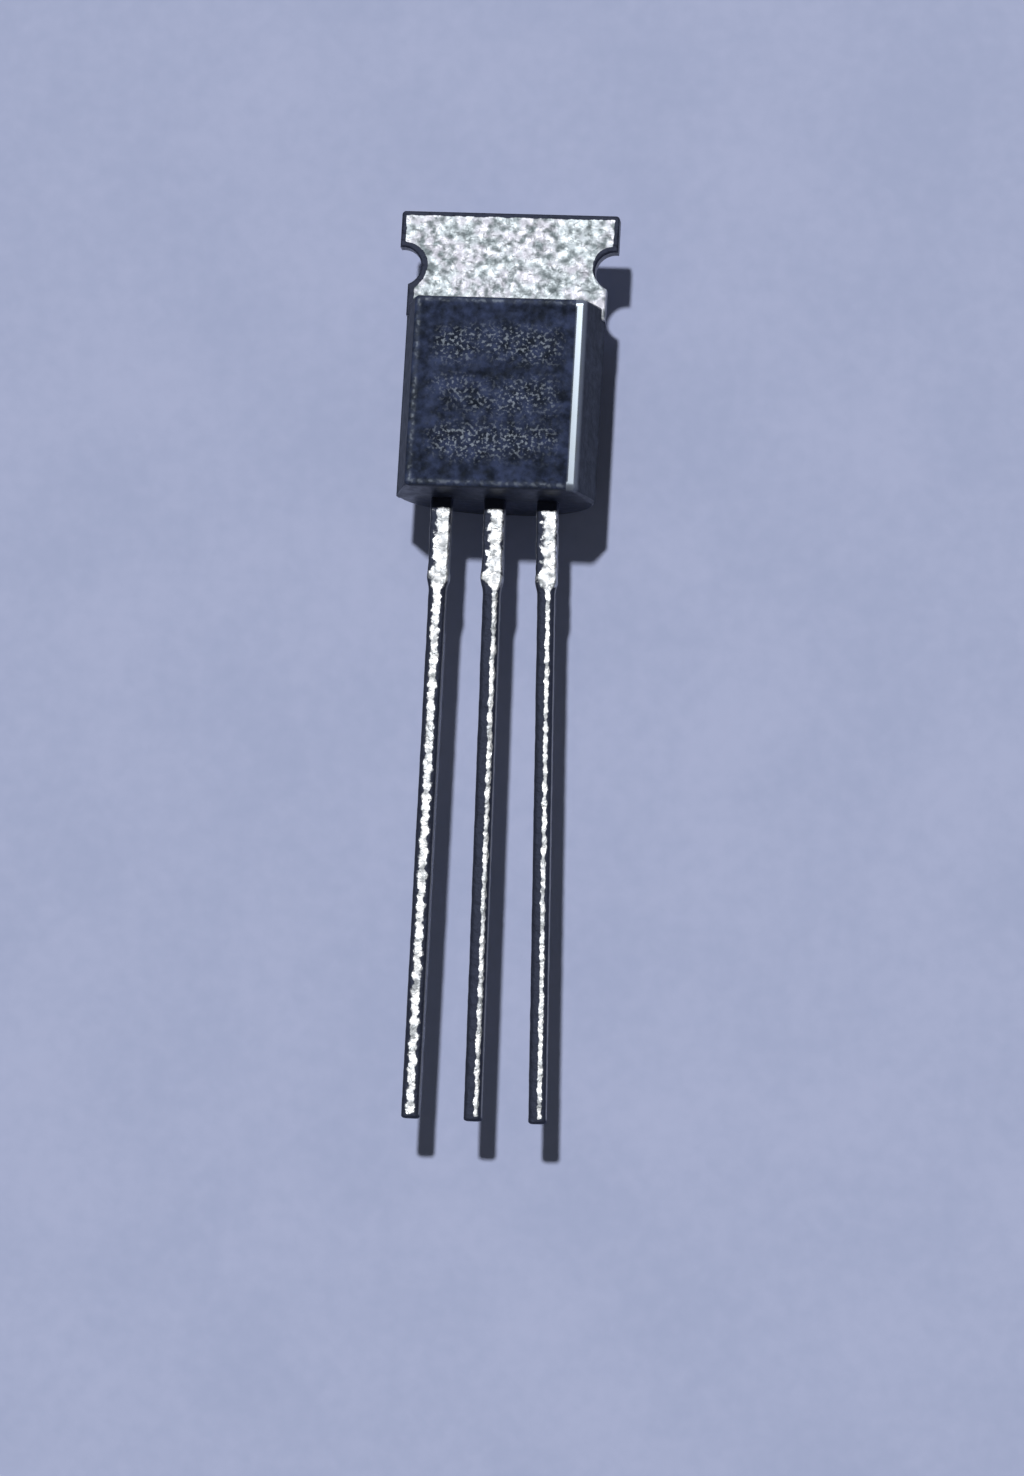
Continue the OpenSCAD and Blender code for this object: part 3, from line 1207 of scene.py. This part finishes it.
@dataclass
class DrainFrame:
    """The stamping that is heat tab, die pad and drain lead in one."""

    lead: Lead
    body_width: float = 4.75
    body_height: float = 4.76
    tab_width: float = 5.26
    tab_height: float = 2.24
    notch_radius: float = 0.47
    notch_drop: float = 1.36
    notch_inset: float = 0.06
    foot_proud: float = 0.02
    foot_set: float = 0.32
    sheet: float = 0.38
    coated: float = 0.41
    roll: float = 0.06
    borders: tuple[float, ...] = (0.3, 0.24, 0.19, 0.15, 0.11, 0.08)
    ear_round: float = 0.09
    pad_from: float = -1.925
    pad_start: float = 1.6
    post_width: float = 0.48
    neck_start: float = 0.02
    tab_lap: float = 0.05
    notch_steps: int = 30
    ear_steps: int = 6
    least_round: float = 0.004
    # Widths of the tab's shaded band: widened on the left as painted shadow, cleared at the right foot as
    # painted highlight
    left_heights: tuple[float, ...] = (-0.6, -0.4, -0.2, 0.35, 0.6, 0.9)
    left_shade_band: tuple[float, ...] = (0.16, 0.15, 0.15, 0.16, 0.13, 0.11)
    right_heights: tuple[float, ...] = (-0.35, -0.1, 0.2, 0.45, 0.9)
    right_shade_and_glint_band: tuple[float, ...] = (-0.04, 0.04, 0.08, 0.13, 0.11)

    def tab_outline(self, inset: float) -> np.ndarray:
        """Gives the tab's outline, anticlockwise from the right of its foot.

        Args:
            inset: Distance that each side lies in from the tab's own edge.

        Returns:
            The points of the outline.
        """
        top = self.body_height + self.tab_height
        notch = np.array([self.tab_width / 2 - self.notch_inset, top - self.notch_drop])
        ear, foot = self.tab_width / 2 - inset, self.body_width / 2 + self.foot_proud - inset
        radius, turn = self.notch_radius + inset, max(self.ear_round - inset, self.least_round)
        first = math.acos((foot - notch[0]) / radius)
        last = math.acos((ear - notch[0]) / radius)
        around = np.linspace(2 * math.pi - first, last, self.notch_steps)
        arc = notch + radius * np.stack([np.cos(around), np.sin(around)], axis=1)
        corner = np.radians(np.linspace(0, 90, self.ear_steps))
        ears = np.array([ear, top - inset]) - turn * (1 - np.stack([np.cos(corner), np.sin(corner)], axis=1))
        right = np.concatenate([[[foot, self.body_height - self.foot_set + inset]], arc, ears])
        return np.concatenate([right, right[::-1] * [-1, 1]])

    def tab_shade_band(self, points: np.ndarray) -> np.ndarray:
        """Gives the width of the tab's shaded band, widened round the left notch as painted shadow and
        cleared at the right foot as painted highlight.

        Args:
            points: Points of the tab.

        Returns:
            The width at each point.
        """
        above = points[:, 1] - (self.body_height + self.tab_height - self.notch_drop)
        left = np.interp(above, self.left_heights, self.left_shade_band)
        right = np.interp(above, self.right_heights, self.right_shade_and_glint_band)
        return np.where(points[:, 0] < 0, left, right)

    def tab(self) -> Plate:
        """Gives the tab with its foot in the body."""
        return Plate("tab", self.tab_outline, self.coated, self.roll, self.borders, self.tab_shade_band)

    def pad(self) -> Plate:
        """Gives the die pad and the neck of the drain lead.

        Returns:
            The plate to build.
        """
        neck = self.lead.offset
        half, top = self.post_width / 2, self.body_height - self.foot_set + self.tab_lap
        outline = [
            (neck - half, self.neck_start), (neck + half, self.neck_start), (neck + half, top),
            (self.pad_from, top), (self.pad_from, self.pad_start), (neck - half, self.pad_start),
        ]
        return Plate("pad", partial(drawn_in, outline), self.sheet, HIDDEN_ROLL, HIDDEN_BORDERS, thin_band)

    def build(
        self, tree: LeadSweep, finish: bpy.types.Material, frost: bpy.types.Material) -> bpy.types.Object:
        """Makes the stamping and stands it for its node.

        Args:
            tree: The Geometry Nodes tree that sweeps leads.
            finish: Finish of the lead and the pad.
            frost: Finish of the tab.

        Returns:
            The piece.
        """
        parts = [self.tab().build(frost), self.pad().build(finish), self.lead.build(tree, finish)]
        piece = joined("tinned_drain_frame", parts)
        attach(piece, "root")
        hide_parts("drain_frame")
        return piece


@dataclass
class Inside:
    """The chip and its bond wires, which keep their solids."""

    chip: SiliconFinish
    wire: WireFinish

    def dress(self) -> None:
        """Gives the chip and the wires their finishes."""
        wire = self.wire.material()
        for node, finish in (
            ("silicon_die", self.chip.material()), ("gate_bond_wire", wire), ("source_bond_wire", wire)):
            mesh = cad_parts[node].data
            mesh.materials.clear()
            mesh.materials.append(finish)


@dataclass
class Studio:
    """Camera, floor and soft light."""

    turn: tuple[float, float, float] = (-8.1832, -6.8044, -2.2642)
    shift: tuple[float, float, float] = (-0.3952, 5.6399, -110.0157)
    focal: float = 4620.0
    image_height: float = 1476.0
    sensor: float = 36.0
    toward_sun: tuple[float, float, float] = (-0.055, 0.321, 0.945)
    sun: float = 2.9
    sun_angle: float = 3.0
    zenith: float = 0.11
    slope: float = 0.07
    horizon: float = 0.42
    glow_height: float = 0.3
    tone: Colour = (0.96, 0.98, 1.0)
    floor_half: float = 9.0
    near: float = 0.001

    def camera(self) -> None:
        """Sets the camera where the photograph was taken from."""
        data = bpy.data.cameras.new("camera")
        data.sensor_width = self.sensor
        data.lens = self.focal / self.image_height * self.sensor
        data.clip_start = self.near
        camera = bpy.data.objects.new("camera", data)
        turn = Euler([math.radians(a) for a in self.turn], "XYZ").to_matrix().transposed()
        spot = Vector(PLACE * MM) - turn @ (Vector(self.shift) * MM)
        camera.matrix_world = Matrix.Translation(spot) @ turn.to_4x4()
        bpy.context.collection.objects.link(camera)
        bpy.context.scene.camera = camera

    def floor(self, finish: FloorFinish) -> None:
        """Lays the floor.

        Args:
            finish: Its finish.
        """
        mesh = bpy.data.meshes.new("floor")
        r = self.floor_half
        mesh.from_pydata([(-r, -r, 0), (r, -r, 0), (r, r, 0), (-r, r, 0)], [], [(0, 1, 2, 3)])
        mesh.materials.append(finish.material())
        shown("floor", mesh)

    def light(self) -> None:
        """Hangs one soft lamp and fills the room with even light."""
        data = bpy.data.lights.new("key", "SUN")
        data.energy = self.sun
        data.angle = math.radians(self.sun_angle)
        lamp = bpy.data.objects.new("key", data)
        lamp.rotation_mode = "QUATERNION"
        lamp.rotation_quaternion = Vector(self.toward_sun).to_track_quat("Z", "Y")
        bpy.context.collection.objects.link(lamp)
        world = bpy.data.worlds.new("room")
        world.use_nodes = True
        tree = world.node_tree
        split = tree.nodes.new("ShaderNodeSeparateXYZ")
        tree.links.new(tree.nodes.new("ShaderNodeTexCoord").outputs["Generated"], split.inputs["Vector"])
        walls = tree.nodes.new("ShaderNodeValToRGB")
        tree.links.new(split.outputs["Z"], walls.inputs["Fac"])
        walls.color_ramp.elements.new(self.glow_height)
        for stop, level in zip(walls.color_ramp.elements, (self.horizon, self.slope, self.zenith)):
            stop.color = (level, level, level, 1.0)
        tree.links.new(walls.outputs["Color"], tree.nodes["Background"].inputs["Strength"])
        tree.nodes["Background"].inputs["Color"].default_value = (*self.tone, 1.0)
        bpy.context.scene.world = world
        bpy.context.scene.view_settings.view_transform = "Standard"


def main() -> None:
    """Builds and dresses every piece, and sets the scene."""
    logging.basicConfig(level=logging.INFO, format="%(message)s")
    studio = Studio()
    studio.camera()
    studio.floor(FloorFinish())
    studio.light()
    body = MouldedBody()
    case = body.build()
    body.dress(case, EpoxyFinish())
    log.info("%s: %d points", case.name, len(case.data.vertices))
    tin, frost = DIPPED.material(), FROSTED.material()
    tree = LeadSweep()
    # Each lead's painted highlight has its own width and offset
    source = Lead(Terminal.SOURCE, lean=0.4, seed=1.0, highlight_share=0.48, highlight_aside=0.005)
    gate = Lead(Terminal.GATE, lean=1.2, seed=2.0, highlight_share=0.29, highlight_aside=0.095)
    drain = Lead(Terminal.DRAIN, lean=2.2, seed=3.0, highlight_share=0.27, highlight_aside=0.06)
    pieces = (
        PostedLead(source, "source_lead").build(tree, tin),
        PostedLead(gate, "gate_lead").build(tree, tin),
        DrainFrame(drain).build(tree, tin, frost),
    )
    for piece in pieces:
        log.info("%s: %d points", piece.name, len(piece.data.vertices))
    Inside(SiliconFinish(), WireFinish()).dress()
    log.info("chip and bond wires dressed")


if __name__ == "__main__":
    main()
